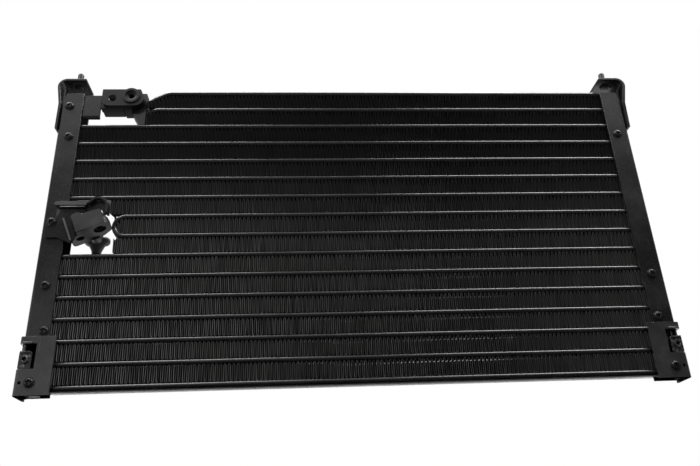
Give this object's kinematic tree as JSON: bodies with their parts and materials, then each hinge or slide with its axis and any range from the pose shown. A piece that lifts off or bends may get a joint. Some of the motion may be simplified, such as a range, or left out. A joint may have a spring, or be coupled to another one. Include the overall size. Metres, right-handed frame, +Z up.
{
  "type": "air conditioning condenser",
  "caption": "Black painted vehicle condenser: nested serpentine flat tubes with corrugated fins between folded side channels, brackets, and inlet and outlet blocks.",
  "frame": {"origin": "on the ground plane under the middle of the whole: halfway between the bottom brackets' outer sides and halfway between its front-most and back-most points", "axes": "+X across the core towards the right side channel, as seen from the front; +Y from the front with the connection blocks to the back; +Z up along the side channels"},
  "size_m": [0.6216, 0.0444, 0.3538],
  "materials": {
    "black_paint": "semi-gloss black paint",
    "black_fin_paint": "satin black paint on thin fins",
    "painted_screw": "black coated steel",
    "zinc_plate": "zinc plated sheet steel"
  },
  "bodies": {
    "root": {"left_side_channel": "black_paint", "top_left_bracket": "black_paint", "top_left_pin": "black_paint", "bottom_left_bracket": "black_paint", "bottom_left_clip_nut": "painted_screw", "right_side_channel": "black_paint", "top_right_bracket": "black_paint", "top_right_pin": "black_paint", "bottom_right_bracket": "black_paint", "bottom_right_clip_nut": "painted_screw", "outer_circuit_tube": "black_paint", "inner_circuit_tube": "black_paint", "fin_row_01": "black_fin_paint", "fin_row_02": "black_fin_paint", "fin_row_03": "black_fin_paint", "fin_row_04": "black_fin_paint", "fin_row_05": "black_fin_paint", "fin_row_06": "black_fin_paint", "fin_row_07": "black_fin_paint", "fin_row_08": "black_fin_paint", "fin_row_09": "black_fin_paint", "fin_row_10": "black_fin_paint", "fin_row_11": "black_fin_paint", "fin_row_12": "black_fin_paint", "fin_row_13": "black_fin_paint", "fin_row_14": "black_fin_paint", "fin_row_15": "black_fin_paint", "inlet_header": "black_paint", "inlet_block": "black_paint", "inlet_bracket": "black_paint", "outlet_block": "black_paint", "outlet_bracket": "black_paint", "outlet_strap": "black_paint", "outlet_header": "black_paint", "outlet_pipe": "black_paint", "pipe_clip": "zinc_plate", "left_screw_1": "painted_screw", "left_screw_2": "painted_screw", "left_screw_3": "painted_screw", "left_screw_4": "painted_screw", "left_screw_5": "painted_screw", "right_screw_1": "painted_screw", "right_screw_2": "painted_screw", "right_screw_3": "painted_screw", "bottom_left_screw": "painted_screw", "bottom_right_screw": "painted_screw", "pipe_clip_screw": "painted_screw"}
  },
  "joints": []
}
